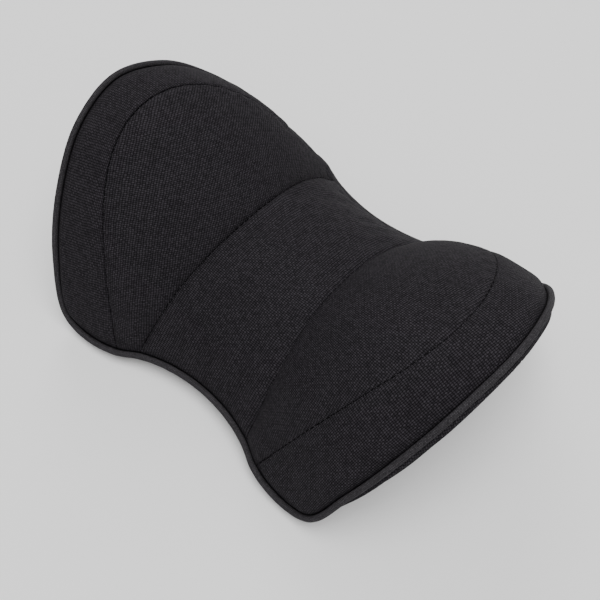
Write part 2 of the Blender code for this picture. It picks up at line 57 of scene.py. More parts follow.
# One quarter of the edge line, at the piping's centre: end, corner, seams' ends, waist.
EDGE_QUARTER = MM * np.array(
    [
        (103.0, 0.0, 77.2),
        (100.0, 24.0, 70.5),
        (93.0, 45.0, 53.5),
        (82.0, 63.5, 29.0),
        (70.0, 73.0, 6.5),
        (40.5, 70.7, 5.5),
        (31.0, 66.0, 7.0),
        (0.0, 60.0, 8.0),
    ]
)
OUTER_END, INNER_END, WAIST = EDGE_QUARTER[5], EDGE_QUARTER[6], EDGE_QUARTER[7]
END_SPANS, LOOP_STEPS = 5, 100

# Lines across the top: apex X and Z, and how much of each bow is parabolic (the rest is quartic).
OUTER_SEAM = (81.7 * MM, 77.5 * MM, 0.92, 0.57)
INNER_SEAM = (25.3 * MM, 45.8 * MM, 1.6, 0.75)
CENTRE_LINE = (0.0, 44.5 * MM, 1.0, 0.66)
BAND_CROWN, WING_CROWN, CROWN_FADE = 1.0 * MM, 2.2 * MM, 12.0 * MM

# The underside: its crown, its feet, the bulge below the end's edge line, and its rows' places.
CROWN_Z, CROWN_END_X = 24.5 * MM, 62.0 * MM
FOOT_DROP, CROWN_SHARE, FOOT_START, FOOT_END = 5.5 * MM, 0.25, 0.72, 0.80
HEEL_DROP, HEEL_OUT, HEEL_AT_TIP, HEEL_SPLAY, UPSWEEP = 4.0 * MM, 3.0 * MM, 0.4, 0.8, 0.5
UNDERSIDE_STATIONS = np.array([0.0, 1, 2, 3, 7, 9, 11, 15, 16, 17, 18])

PIPING_RADIUS, CORD_RADIUS = 1.4 * MM, 0.75 * MM
PIPING_FLANGE, FLANGE_HALF = 3.4 * MM, 0.25 * MM
CLOTH_THICKNESS = 0.45 * MM
FOAM_INSET = 2.3 * MM
# The foam's dent over the zip, and the slit between the underside's panels where the zip lies.
RELIEF_TOP_Z, RELIEF_X, RELIEF_Y, RELIEF_FADE = 28.3 * MM, 60.0 * MM, 12.0 * MM, 3.0 * MM
SLIT_HALF_WIDTH, SLIT_X, SLIT_END = 4.0 * MM, 50.0 * MM, 5.0 * MM

# The plain weave's two yarn spacings, and each panel's grain, in degrees from the length.
YARN_SPACING = (1.11 * MM, 0.81 * MM)
GRAIN = {
    "right_end_band": 80.0,
    "right_wing_panel": -10.0,
    "centre_panel": 0.0,
    "left_wing_panel": 35.0,
    "left_end_band": 100.0,
    "underside_back_panel": 0.0,
    "underside_front_panel": 0.0,
}

# Distances at which the fine grids have their rows: from a seam, from the edge line, from the zip.
NEAR = MM * np.array([0.0, 0.03, 0.1, 0.2, 0.33, 0.5, 0.75, 1.1, 1.6, 2.3, 3.2])
RIM_NEAR = MM * np.array([0.0, 0.12, 0.3, 0.5, 0.75, 1.05, 1.45, 1.95, 2.6, 3.4, 4.4])
ZIP_NEAR = MM * np.array([0.0, 0.03, 0.1, 0.2, 0.33, 0.5, 0.8, 1.4, 2.2, 3.2])
PUFF_NEAR = MM * np.array([0.0, 1.5])
WELD = 0.004 * MM

# Grid sizes. A middles triple counts the evenly spaced rows of a band, a wing and the centre panel,
# FOAM_ROWS and FOAM_COLUMNS are left off round the foam, and UNDER_RIM scales RIM_NEAR below.
TOP_MIDDLES, TOP_COLUMNS, TOP_SPAN = (14, 44, 38), 300, 200 * MM
PUFF_MIDDLES, PUFF_COLUMNS = (5, 14, 12), 49
FOAM_MIDDLES, FOAM_GRID = (8, 20, 16), (90, 81)
FOAM_ROWS, FOAM_COLUMNS = 9, 5
END_STATIONS, MIDDLE_STATIONS, UNDER_COLUMNS, UNDER_RIM = 34, 130, 60, 0.8

# The cloth beside the piping: its shift inwards, its height at the edge line and just inside it,
# the distance in which it turns up, and its reach. The painted shade in the crease fades out
# between the last two.
TUCK_IN, TUCK_DOWN, TUCK_UP = 1.5 * MM, -0.1 * MM, 1.4 * MM
TUCK_TURN, TUCK_REACH = 0.8 * MM, 5.0 * MM
CREASE_IN, CREASE_OUT = 1.6 * MM, 2.3 * MM

# The cloth simulation that puffs the top panels, and the most that a point may rise.
PUFF_FRAMES, PUFF_QUALITY, PUFF_PRESSURE, PUFF_MASS = 20, 8, 40.0, 0.002
PUFF_STIFFNESS, PUFF_BENDING, PUFF_EASE = 15.0, 0.05, 0.004
PUFF_CAP = 1.0 * MM

# Seams, by number from the +X end: the turned edge's radius, how much each stitch pinches it, the
# dip and pucker beside it, the turned-in allowance, and half the gap between the two panels.
STITCH = 3.0 * MM
SEAM_ROLL = {1: 0.6 * MM, 2: 0.55 * MM, 3: 0.55 * MM, 4: 0.7 * MM}
UNDER_ROLL = 0.4 * MM
SEAM_PINCH = {1: 0.7, 2: 0.75, 3: 0.75, 4: 0.15}
SEAM_DIP, SEAM_DIP_REACH, SEAM_BLEND = 0.35 * MM, 2.2 * MM, 3.4 * MM
PUCKER, PUCKER_REACH = 0.07 * MM, 2.2 * MM
RIPPLE, RIPPLE_REACH = 0.16 * MM, 6.0 * MM
ALLOWANCE, UNDER_ALLOWANCE = 1.3 * MM, 0.78 * MM
# The turned-in strip's points: shares of the half gap and of the allowance, deepest first.
ALLOWANCE_FOLD = ((0.0, 1.0), (0.7, 0.5))
SEAM_HALF_GAP = {1: 0.14 * MM, 2: 0.13 * MM, 3: 0.13 * MM, 4: 0.24 * MM}
UNDER_HALF_GAP = 0.08 * MM
BAND_TIP = 0.9 * MM
ZIP_STITCH, TOPSTITCH_DIP, TOPSTITCH_DIP_REACH = 2.5 * MM, 0.15 * MM, 0.6 * MM
THREAD_RADIUS, THREAD_RISE, THREAD_SIDES = 0.13 * MM, 0.12 * MM, 6
SEAM_THREAD_SHARE, TOPSTITCH_SHARE = 0.2, 0.75

# The piping roll: what it stays inside the CAD's outline, how uneven it is, and points round it.
ROLL_CLEARANCE, ROLL_RIPPLE, ROLL_SIDES, CORD_SIDES = 0.05 * MM, 0.035 * MM, 29, 12

COIL_PITCH, COIL_WIRE, COIL_STEPS, COIL_SIDES = 1.0 * MM, 0.27 * MM, 14, 8

# Colours in linear light.
GAP_BLACK = (0.001, 0.001, 0.0012)
YARN_BLACK = (0.0415, 0.0375, 0.0435)
PIPING_BLACK = (0.080, 0.075, 0.082)
FLOOR_WHITE = (0.9, 0.9, 0.9, 1.0)
WHITE = (1.0, 1.0, 1.0, 1.0)

# Weave: noise scales per metre, then (range, least) of each factor on a yarn's brightness.
WANDER_SCALE, FIBRE_SCALE, PATCH_SCALE = 180.0, 9000.0, 45.0
RUN_SHADE, FIBRE_SHADE = (0.55, 0.45), (0.5, 0.75)
# The random tone of each yarn crossing, the last pair here, is partly a painted glint of the fibres.
PATCH_SHADE, CELL_SHADE = (0.3, 0.85), (0.6, 0.65)
# The last of these is how much the colour is darkened in the crease beside the piping: painted shade.
CROWN_POWER, TONE_POWER, CREASE_PAINTED_SHADE = 0.8, 1.15, 0.8
CLOTH_ROUGHNESS, CROWN_GLOSS, CLOTH_SPECULAR, FIBRE_RELIEF = 0.85, 0.15, 0.05, 0.12
FOAM_CELLS = 1400.0

FLOOR_HALF, FLOOR_ROUGHNESS = 30.0, 0.9
FLOOR_GLOW, WORLD_LIGHT = 0.1, 0.44
# Each light's name, place, diameter and power.
LIGHTS = [
    ("key", (0.9, 0.0, 5.4), 4.8, 290.0),
    ("back", (-3.0, 3.0, 2.4), 2.4, 70.0),
    ("fill", (2.4, -2.7, 3.3), 3.6, 14.0),
]


# ---------------------------------------------------------------- curves and surfaces


def hermite(t, start, end, start_slope, end_slope):
    """The cubic from start to end with these slopes, at t from 0 to 1."""
    return (
        start * (2 * t**3 - 3 * t**2 + 1)
        + start_slope * (t**3 - 2 * t**2 + t)
        + end * (3 * t**2 - 2 * t**3)
        + end_slope * (t**3 - t**2)
    )


def monotone(x, stations, values):
    """Smooth interpolation of values at the stations that never overshoots them."""
    steps = np.diff(stations).reshape((-1,) + (1,) * (values.ndim - 1))
    slopes = np.diff(values, axis=0) / steps
    tangents = np.zeros_like(values)
    tangents[0], tangents[-1] = slopes[0], slopes[-1]
    before, after = slopes[:-1], slopes[1:]
    heavy, light = 2 * steps[1:] + steps[:-1], steps[1:] + 2 * steps[:-1]
    safe_before = np.where(before == 0, 1.0, before)
    safe_after = np.where(after == 0, 1.0, after)
    blend = heavy / safe_before + light / safe_after
    mean = (heavy + light) / np.where(before * after > 0, blend, 1.0)
    tangents[1:-1] = np.where(before * after > 0, mean, 0.0)
    i = np.clip(np.searchsorted(stations, x, side="right") - 1, 0, len(stations) - 2)
    step = (stations[i + 1] - stations[i]).reshape(i.shape + (1,) * (values.ndim - 1))
    t = (x - stations[i]).reshape(step.shape) / step
    return hermite(t, values[i], values[i + 1], tangents[i] * step, tangents[i + 1] * step)


def unit(vectors):
    return vectors / np.maximum(np.linalg.norm(vectors, axis=-1, keepdims=True), 1e-12)


def smooth_loop(knots, steps):
    """A closed smooth curve through the knots, with chord-length tangents."""
    ahead_span = np.linalg.norm(np.roll(knots, -1, axis=0) - knots, axis=1)[:, None]
    back_span = np.roll(ahead_span, 1, axis=0)
    ahead = (np.roll(knots, -1, axis=0) - knots) / ahead_span
    back = (knots - np.roll(knots, 1, axis=0)) / back_span
    tangents = (ahead * back_span + back * ahead_span) / (back_span + ahead_span)
    t = (np.arange(steps) / steps)[None, :, None]
    end, end_tangent = np.roll(knots, -1, axis=0), np.roll(tangents, -1, axis=0)
    span = ahead_span[:, None, :]
    curve = hermite(
        t, knots[:, None], end[:, None], tangents[:, None] * span, end_tangent[:, None] * span
    )
    return curve.reshape(-1, 3)


def lengths_along(points):
    return np.concatenate([[0.0], np.cumsum(np.linalg.norm(np.diff(points, axis=0), axis=1))])


def at_shares(points, shares):
    """Points at these shares of a dense polyline's length."""
    lengths = lengths_along(points)
    wanted = shares * lengths[-1]
    return np.stack([np.interp(wanted, lengths, points[:, i]) for i in range(3)], axis=-1)


def edge_knots():
    to_far_end = EDGE_QUARTER[-2::-1] * (-1, 1, 1)
    half = np.concatenate([EDGE_QUARTER, to_far_end])
    return np.concatenate([half, half[-2:0:-1] * (1, -1, 1)])


edge_loop = smooth_loop(edge_knots(), LOOP_STEPS)


def end_arc(v):
    """The edge line round the +X end, at v from -1 on the -Y side to 1 on the +Y side."""
    quarter = edge_loop[: END_SPANS * LOOP_STEPS + 1]
    return at_shares(np.concatenate([quarter[:0:-1] * (1, -1, 1), quarter]), (v + 1) / 2)


def top_arch(end, shape, v):
    """A seam's line across the top, from one side of the edge line to the other."""
    apex_x, apex_z, x_bow, z_bow = shape
    u = np.linspace(-1, 1, 1601)
    x = apex_x + (end[0] - apex_x) * (x_bow * u**2 + (1 - x_bow) * u**4)
    z = apex_z + (end[2] - apex_z) * (z_bow * u**2 + (1 - z_bow) * u**4)
    return at_shares(np.stack([x, end[1] * u, z], axis=-1), (v + 1) / 2)


def ease(t):
    t = np.clip(t, 0.0, 1.0)
    return t * t * (3 - 2 * t)


def underside_arch(end, apex_x, v):
    """A line across the underside: flat crown, sloping side, foot, then up to the edge line."""
    side = np.abs(v)
    fall = ease((side - CROWN_SHARE) / (FOOT_START - CROWN_SHARE))
    toe = np.maximum(0.0, (side - FOOT_END) / (1 - FOOT_END)) ** 2
    foot_z = end[2] - FOOT_DROP
    z = CROWN_Z + (foot_z - CROWN_Z) * fall + (end[2] - foot_z) * toe
    return np.stack([apex_x + (end[0] - apex_x) * v**2, end[1] * v, z], axis=-1)


def heel_line(v):
    """The underside's bulge just below the end's edge line, turning in towards its tips."""
    swell = HEEL_AT_TIP * np.cos(math.pi / 2 * v) + (1 - HEEL_AT_TIP) * np.sin(math.pi * v) ** 2
    out = HEEL_OUT * swell
    drop = HEEL_DROP * (1 - v**6)
    bulge = end_arc(v) + np.stack([out, HEEL_SPLAY * v * out, -drop], axis=-1)
    further_in = underside_arch(OUTER_END, CROWN_END_X, v)
    return bulge + (further_in - bulge) * (v**8)[..., None]


def padded_between(row_a, row_b, shares, v, crown):
    """A panel between two lines across the top, padded outwards by crown in its middle."""
    t = shares[..., None]
    surface = row_a + (row_b - row_a) * t
    across = np.broadcast_to(row_a - row_b, surface.shape)
    width = np.linalg.norm(row_a - row_b, axis=-1)
    normal = unit(np.cross(across, np.gradient(surface, axis=1)))
    side_fade = ease((1 - np.abs(v)) * 10)
    lift = crown * 4 * shares * (1 - shares) * np.minimum(1.0, width / CROWN_FADE) * side_fade
    return surface + normal * lift[..., None]


def row_shares(width, near_a, near_b, middle):
    """Shares of each column's width for rows close-set near both ends of it."""
    room = width[None, :]
    shrink = np.minimum(1.0, room / (1.25 * (near_a[-1] + near_b[-1])))
    first = near_a[:, None] * shrink / room
    last = 1 - near_b[::-1, None] * shrink / room
    steps = np.linspace(0, 1, middle + 2)[1:-1, None]
    return np.concatenate([first, first[-1] + (last[0] - first[-1]) * steps, last])


def top_skin(v, near, rim_near, middles):
    """The top's grid, row by row from the +X end, the rows that seams lie on, and each row's mark.

    A mark is the panel's number plus the row's share of the way across the panel.
    """
    lines = [end_arc(v), top_arch(OUTER_END, OUTER_SEAM, v), top_arch(INNER_END, INNER_SEAM, v)]
    centre = top_arch(WAIST, CENTRE_LINE, v)
    flip = np.array([-1.0, 1.0, 1.0])
    panels, marks = [], []
    for k, crown in ((0, BAND_CROWN), (1, WING_CROWN)):
        width = np.maximum(np.linalg.norm(lines[k] - lines[k + 1], axis=1), 0.001 * MM)
        shares = row_shares(width, rim_near if k == 0 else near, near, middles[k])
        panels.append(padded_between(lines[k], lines[k + 1], shares, v, crown))
        marks.append(shares[:, len(v) // 2])
    shares = row_shares(2 * lines[2][:, 0], near, near, middles[2])
    marks += [shares[:, len(v) // 2], 1 - marks[1][::-1], 1 - marks[0][::-1]]
    u = 1 - 2 * shares[..., None]
    far = lines[2] * flip
    panels.append(lines[2] * u * (u + 1) / 2 + centre * (1 - u * u) + far * u * (u - 1) / 2)
    panels += [panels[1][::-1] * flip, panels[0][::-1] * flip]
    seams = [0]
    for panel in panels:
        seams.append(seams[-1] + len(panel) - 1)
    grid = np.concatenate([panels[0]] + [panel[1:] for panel in panels[1:]])
    marks = np.concatenate([marks[0]] + [k + 1 + mark[1:] for k, mark in enumerate(marks[1:])])
    return grid, seams, marks


def underside_skin(stations, v):
    """The underside at these stations and columns; v is a grid, one row for each station."""
    outer = underside_arch(OUTER_END, CROWN_END_X, v)
    heel = heel_line(v)
    inner = underside_arch(INNER_END, INNER_SEAM[0], v)
    half = [end_arc(v), heel, outer + (heel - outer) * UPSWEEP, outer, inner]
    flip = np.array([-1.0, 1.0, 1.0])
    lines = half + [underside_arch(WAIST, 0.0, v)] + [line * flip for line in half[::-1]]
    lines = np.stack(lines)
    places = stations[:, None]
    rows = [monotone(place, UNDERSIDE_STATIONS, lines[:, r])[0] for r, place in enumerate(places)]
    return np.stack(rows)


# ---------------------------------------------------------------- the edge line's own frames


def edge_frames():
    """A tree of the edge line's points, and at each the way in between the skins and the way up."""
    v = np.linspace(-1, 1, 21)
    thirds = MM * np.array([0.0, 0.001])
    top, _, _ = top_skin(v, thirds, thirds, (1, 2, 2))
    columns = np.broadcast_to(v, (19, 21))
    below = underside_skin(np.arange(19.0), columns)
    triples = []
    for edge_row, top_row, below_row in ((0, 2, 1), (-1, -3, -2)):
        for k in range(1, 20):
            triples.append((top[edge_row][k], top[top_row][k], below[below_row][k]))
    for station in np.linspace(3, 15, 25):
        edge = underside_skin(np.array([station]), v[None])[0]
        for k, step in ((0, 1), (-1, -2)):
            row = np.argmin(np.linalg.norm(top[:, k] - edge[k], axis=1))
            triples.append((edge[k], top[row][step], edge[step]))
    points, inner_top, inner_below = np.array(triples).swapaxes(0, 1)
    ways = unit(unit(inner_top - points) + unit(inner_below - points))
    tree = KDTree(len(edge_loop))
    for i, point in enumerate(edge_loop):
        tree.insert(point, i)
    tree.balance()
    places = np.array([tree.find(point)[1] for point in points])
    order = np.argsort(places, kind="stable")
    places, ways = places[order], ways[order]
    total = len(edge_loop)
    stations = np.concatenate([places - total, places, places + total])
    ways = np.concatenate([ways] * 3)
    way = np.stack([np.interp(np.arange(total), stations, ways[:, i]) for i in range(3)], axis=-1)
    kernel = np.hanning(2 * LOOP_STEPS + 1)
    kernel /= kernel.sum()
    for i in range(3):
        wrapped = np.concatenate([way[-LOOP_STEPS:, i], way[:, i], way[:LOOP_STEPS, i]])
        way[:, i] = np.convolve(wrapped, kernel, mode="valid")
    along = unit(np.roll(edge_loop, -1, axis=0) - np.roll(edge_loop, 1, axis=0))
    way = unit(way - along * (way * along).sum(axis=1, keepdims=True))
    return tree, way, unit(np.cross(along, way))


edge_tree, edge_way, edge_up = edge_frames()


# ---------------------------------------------------------------- fields that shape the fine grids


def normals_of(grid, side):
    """Unit normals of a grid of points, outwards: side is 1 for the top and -1 for the underside."""
    down, across = np.gradient(grid, axis=0), np.gradient(grid, axis=1)
    return unit(np.cross(across, down)) * side


def tucked(grid, side):
    """The skin drawn into the crease beside the piping."""
    flat = grid.reshape(-1, 3)
    index = np.array([edge_tree.find(point)[1] for point in flat])
    way, up = edge_way[index], edge_up[index]
    inwards = np.maximum(((flat - edge_loop[index]) * way).sum(axis=1), 0.0)
    push = TUCK_IN * np.exp(-inwards / TUCK_IN)
    rise = TUCK_DOWN + (TUCK_UP - TUCK_DOWN) * (1 - np.exp(-inwards / TUCK_TURN))
    rise *= np.exp(-((inwards / TUCK_REACH) ** 2))
    flat = flat + way * push[:, None] + up * (rise * side)[:, None]
    return flat.reshape(grid.shape)


def rolled(distance, radius):
    """Depth of cloth that turns down over a round edge of this radius, at a distance from it."""
    inside = np.clip(radius - distance, 0.0, radius)
    return radius - np.sqrt(radius**2 - inside**2)


def wobble(along, seed):
    """A smooth unevenness from -1 to 1 along a seam."""
    waves = np.random.default_rng(seed).uniform((0.15, 0.0), (0.55, 2 * math.pi), (7, 2))
    return sum(np.sin(along / MM * rate + phase) for rate, phase in waves) / 3.5


def puffed(grid, pinned, side):
    """How far cloth under pressure lifts off the grid between its pinned points, by simulation."""
    flat = grid.reshape(-1, 3)
    mesh = welded_grid("puff", grid, side)
    cloth_object = bpy.data.objects.new("puff", mesh)
    bpy.context.scene.collection.objects.link(cloth_object)
    rest = np.array([vertex.co for vertex in mesh.vertices])
    tree = KDTree(len(rest))
    for i, point in enumerate(rest):
        tree.insert(point, i)
    tree.balance()
    twin = np.array([tree.find(point)[1] for point in flat])
    group = cloth_object.vertex_groups.new(name="pinned")
    group.add(sorted({int(i) for i in twin[pinned.ravel()]}), 1.0, "REPLACE")
    cloth = cloth_object.modifiers.new("cloth", "CLOTH")
    settings = cloth.settings
    settings.vertex_group_mass = "pinned"
    settings.quality = PUFF_QUALITY
    settings.mass = PUFF_MASS
    settings.tension_stiffness = settings.compression_stiffness = PUFF_STIFFNESS
    settings.shear_stiffness = PUFF_STIFFNESS / 3
    settings.bending_stiffness = PUFF_BENDING
    settings.use_pressure = True
    settings.uniform_pressure_force = PUFF_PRESSURE
    settings.shrink_min = -PUFF_EASE
    settings.effector_weights.gravity = 0.0
    cloth.collision_settings.use_collision = False
    for step in range(1, PUFF_FRAMES + 1):
        bpy.context.scene.frame_set(step)
    evaluated = cloth_object.evaluated_get(bpy.context.evaluated_depsgraph_get())
    moved = np.array([vertex.co for vertex in evaluated.data.vertices]) - rest
    bpy.data.objects.remove(cloth_object, do_unlink=True)
    bpy.context.scene.frame_set(1)
    return (moved[twin].reshape(grid.shape) * normals_of(grid, side)).sum(axis=-1)


# ---------------------------------------------------------------- meshes


def welded_grid(name, grid, side):
    """A mesh over the grid, with points that coincide made one."""
    rows, columns = grid.shape[:2]
    index = np.arange(rows * columns).reshape(rows, columns)
    corners = [index[:-1, :-1], index[:-1, 1:], index[1:, 1:], index[1:, :-1]]
    faces = np.stack(corners if side > 0 else corners[::-1], axis=-1).reshape(-1, 4)
    mesh = bpy.data.meshes.new(name)
    mesh.from_pydata(grid.reshape(-1, 3).tolist(), [], faces.tolist())
    bm = bmesh.new()
    bm.from_mesh(mesh)
    bmesh.ops.remove_doubles(bm, verts=bm.verts, dist=WELD)
    bmesh.ops.dissolve_degenerate(bm, edges=bm.edges, dist=WELD)
    bm.to_mesh(mesh)
    bm.free()
    mesh.shade_smooth()
    return mesh


def add_piece(name, data, material, slot, body, *nodes):
    """A piece that rides on the body and stands for the CAD nodes, if any."""
    piece = bpy.data.objects.new(name, data)
    bpy.context.scene.collection.objects.link(piece)
    data.materials.append(material)
    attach(piece, body)
    if nodes:
        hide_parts(*nodes)
    return piece


def flat_pattern(mesh, middle, ahead, grain):
    """Each point's place on the flat cloth, in metres, with X across the first set of yarns.

    The panel is laid flat by unwrapping. middle and ahead are two points on the panel, the second
    further along its length, and grain is the turn from that direction to the yarns' own X.
    """
    draft = bpy.data.objects.new("draft", mesh)
    bpy.context.scene.collection.objects.link(draft)
    bpy.context.view_layer.objects.active = draft
    draft.select_set(True)
    mesh.uv_layers.new(name="flat")
    bpy.ops.object.mode_set(mode="EDIT")
    bpy.ops.mesh.select_all(action="SELECT")
    bpy.ops.uv.unwrap(method="CONFORMAL", margin=0.0)
    bpy.ops.object.mode_set(mode="OBJECT")
    loops = len(mesh.loops)
    uv, owner = np.zeros(loops * 2), np.zeros(loops, dtype=int)
    mesh.uv_layers["flat"].data.foreach_get("uv", uv)
    mesh.loops.foreach_get("vertex_index", owner)
    places = np.zeros((len(mesh.vertices), 2))
    places[owner] = uv.reshape(-1, 2)
    mesh.uv_layers.remove(mesh.uv_layers["flat"])
    bpy.data.objects.remove(draft, do_unlink=True)
    points = np.array([vertex.co for vertex in mesh.vertices])
    a, b = (int(np.argmin(np.linalg.norm(points - point, axis=1))) for point in (middle, ahead))
    line = places[b] - places[a]
    scale = np.linalg.norm(points[b] - points[a]) / np.linalg.norm(line)
    turn = -(math.atan2(line[1], line[0]) + math.radians(grain))
    spin = np.array([[math.cos(turn), -math.sin(turn)], [math.sin(turn), math.cos(turn)]])
    flat = (places - places[a]) @ spin.T * scale
    # The cloth attribute's Z: where the colour is darkened as painted shade in the crease beside the
    # piping.
    from_edge = np.array([edge_tree.find(point)[2] for point in points])
    crease = ease((CREASE_OUT - from_edge) / (CREASE_OUT - CREASE_IN))
    cloth = mesh.attributes.new("cloth", "FLOAT_VECTOR", "POINT")
    cloth.data.foreach_set("vector", np.column_stack([flat, crease]).ravel())
    return flat


def centre_points(grid):
    """A grid's middle point, and one further along its length."""
    rows, columns = grid.shape[:2]
    return grid[rows // 2, columns // 2], grid[rows // 2 - rows // 6, columns // 2]


def with_margin(rows, width):
    """The pattern's rows with a flat seam allowance beyond the first."""
    out = unit(rows[0] - rows[len(NEAR) - 1]) * width
    return np.concatenate([rows[:1] + out, rows])


def cut_size(pattern, side):
    """The smallest rectangle that a panel's pattern is cut from, and the pattern's own area.
    """
    mesh = welded_grid("pattern", pattern, side)
    flat = flat_pattern(mesh, *centre_points(pattern), 0.0)
    area = sum(face.area for face in mesh.polygons)
    bpy.data.meshes.remove(mesh)
    best = None
    for degrees in range(0, 180, 2):
        a, b = math.cos(math.radians(degrees)), math.sin(math.radians(degrees))
        sides = np.ptp(flat @ np.array([[a, -b], [b, a]]), axis=0)
        if best is None or sides.prod() < best.prod():
            best = sides
    return tuple(sorted(float(length) for length in best)), area


def cloth_piece(name, grid, pattern, side, node, material):
    """A panel of cloth over the grid, cut to the pattern, with its own weave and thickness."""
    mesh = welded_grid(name, grid, side)
    flat_pattern(mesh, *centre_points(grid), GRAIN[node])
    piece = add_piece(name, mesh, material, "woven_cover", "cushion", node)
    size, area = cut_size(pattern, side)
    solid = piece.modifiers.new("cloth thickness", "SOLIDIFY")
    solid.thickness = CLOTH_THICKNESS
    solid.offset = -1.0
    return piece


def make_top_covers(material, thread):
    """The five top panels, puffed between their seams, and the thread that shows in each seam."""
    v_side = 1 - 2 * RIM_NEAR / TOP_SPAN
    v_middle = np.linspace(-v_side[-1], v_side[-1], TOP_COLUMNS)[1:-1]
    v = np.concatenate([-v_side, v_middle, v_side[::-1]])
    grid, seams, marks = top_skin(v, NEAR, RIM_NEAR, TOP_MIDDLES)
    coarse_v = np.linspace(-1, 1, PUFF_COLUMNS)
    coarse, coarse_seams, coarse_marks = top_skin(coarse_v, PUFF_NEAR, PUFF_NEAR, PUFF_MIDDLES)
    pinned = np.zeros(coarse.shape[:2], dtype=bool)
    pinned[coarse_seams] = True
    pinned[:, [0, -1]] = True
    lift = np.clip(puffed(coarse, pinned, 1), -PUFF_CAP / 2, PUFF_CAP)
    lift = monotone(marks, coarse_marks, lift)
    lift = monotone(v, coarse_v, lift.T).T

    normals = normals_of(grid, 1)
    moved = grid + normals * lift[..., None]
    seam_edges = {}
    # A seam's own normals come from this many rows to each side of it.
    clear = len(NEAR) - 2
    for k in range(1, 5):
        seam = seams[k]
        distance = np.linalg.norm(grid - grid[seam], axis=-1)
        along = lengths_along(grid[seam])
        near = np.exp(-((distance / SEAM_BLEND) ** 2))[..., None]
        common = unit(normals[seam - clear] + normals[seam + clear])
        normals = unit(normals * (1 - near) + common * near)
        wave = np.cos(2 * math.pi * along / STITCH + wobble(along, k))
        pinch = 1 - SEAM_PINCH[k] / 2 + SEAM_PINCH[k] / 2 * wave
        depth = rolled(distance, SEAM_ROLL[k]) * pinch
        depth += SEAM_DIP * np.exp(-((distance / SEAM_DIP_REACH) ** 2))
        depth += PUCKER * wave * np.exp(-distance / PUCKER_REACH)
        depth += RIPPLE * wobble(along * 1.7, k + 10) * np.exp(-distance / RIPPLE_REACH)
        moved = moved - normals * depth[..., None]
        seam_edges[k] = common
    moved = tucked(moved, 1)
    for k, node in enumerate(list(GRAIN)[:5]):
        rows = moved[seams[k] : seams[k + 1] + 1].copy()
        pattern = grid[seams[k] : seams[k + 1] + 1]
        if k > 0:
            rows = with_allowance(rows, seam_edges[k], SEAM_HALF_GAP[k])
            pattern = with_margin(pattern, ALLOWANCE)
        if k < 4:
            rows = with_allowance(rows[::-1], seam_edges[k + 1], SEAM_HALF_GAP[k + 1])[::-1]
            pattern = with_margin(pattern[::-1], ALLOWANCE)[::-1]
        if node.endswith("band"):
            width = np.linalg.norm(grid[seams[k]] - grid[seams[k + 1]], axis=1)
            rows, pattern = rows[:, width > BAND_TIP], pattern[:, width > BAND_TIP]
        cloth_piece(node.replace("_panel", "") + "_cover", rows, pattern, 1, node, material)
    for k in range(1, 5):
        paths = stitches(moved[seams[k]], STITCH, SEAM_THREAD_SHARE, seam_edges[k])
        mesh = tubes("seam_thread", paths, THREAD_RADIUS, THREAD_SIDES)
        add_piece(f"seam_thread_{k}", mesh, thread, "piping_tape", "cushion")


def with_allowance(rows, normal, half_gap):
    """The rows parted from the seam on which the first lies, with its turned-in strip added."""
    count = len(NEAR)
    away = unit(rows[count] - rows[0]) * half_gap
    shares = np.linspace(1, 0, count + 1)[:-1, None, None]
    parted = np.concatenate([rows[:count] + away * shares, rows[count:]])
    strip = [
        rows[0] + away * share - normal * ALLOWANCE * deep for share, deep in ALLOWANCE_FOLD
    ]
    return np.concatenate([strip, parted])


def make_underside_covers(material, thread):
    """The underside's two panels, parted along the zip and meeting beyond it, and their topstitch."""
    end = np.linspace(0, 3, END_STATIONS)
    stations = np.unique(np.concatenate([end, np.linspace(3, 15, MIDDLE_STATIONS), end + 15]))
    guide = underside_skin(stations, np.zeros((len(stations), 1)))[:, 0]
    half_width = underside_skin(stations, np.ones((len(stations), 1)))[:, 0, 1]
    beyond = SLIT_X + SLIT_END - np.abs(guide[:, 0])
    slit = UNDER_HALF_GAP + SLIT_HALF_WIDTH * ease(beyond / SLIT_END)
    for node, sign in (("underside_back_panel", 1), ("underside_front_panel", -1)):
        start = (slit / half_width)[:, None]
        room = (half_width - slit)[:, None]
        rim = 1 - RIM_NEAR[::-1] / room * UNDER_RIM
        first = ZIP_NEAR / room
        steps = np.linspace(0, 1, UNDER_COLUMNS + 2)[1:-1]
        middle = first[:, -1:] + (rim[:, :1] - first[:, -1:]) * steps
        v = start + (1 - start) * np.concatenate([first, middle, rim], axis=1)
        grid = underside_skin(stations, v * sign)
        normals = normals_of(grid, -sign)
        distance = np.linalg.norm(grid - grid[:, :1], axis=-1)
        along = lengths_along(grid[:, 0])[:, None]
        wave = np.cos(2 * math.pi * along / STITCH)
        depth = rolled(distance, UNDER_ROLL)
        depth += PUCKER * wave * np.exp(-np.abs(distance - ZIP_STITCH) / PUCKER_REACH)
        depth += TOPSTITCH_DIP * np.exp(-(((distance - ZIP_STITCH) / TOPSTITCH_DIP_REACH) ** 2))
        moved = tucked(grid - normals * depth[..., None], -1)
        edge = moved[:, 0] - normals[:, 0] * UNDER_ALLOWANCE
        edge[beyond < 0, 1] = sign * WELD
        rows = np.concatenate([edge[:, None], moved], axis=1)
        pattern = with_margin(grid.swapaxes(0, 1), UNDER_ALLOWANCE).swapaxes(0, 1)
        cloth_piece(node.replace("_panel", "") + "_cover", rows, pattern, -sign, node, material)
        line, ups = [], []
        for r in np.flatnonzero(beyond > 0):
            for found, field in ((line, moved), (ups, normals)):
                found.append([np.interp(ZIP_STITCH, distance[r], field[r, :, i]) for i in range(3)])
        paths = stitches(np.array(line), ZIP_STITCH, TOPSTITCH_SHARE, np.array(ups))
        mesh = tubes("zip_topstitch", paths, THREAD_RADIUS, THREAD_SIDES)
        name = node.replace("underside", "zip_topstitch").replace("_panel", "")
        add_piece(name, mesh, thread, "piping_tape", "cushion")


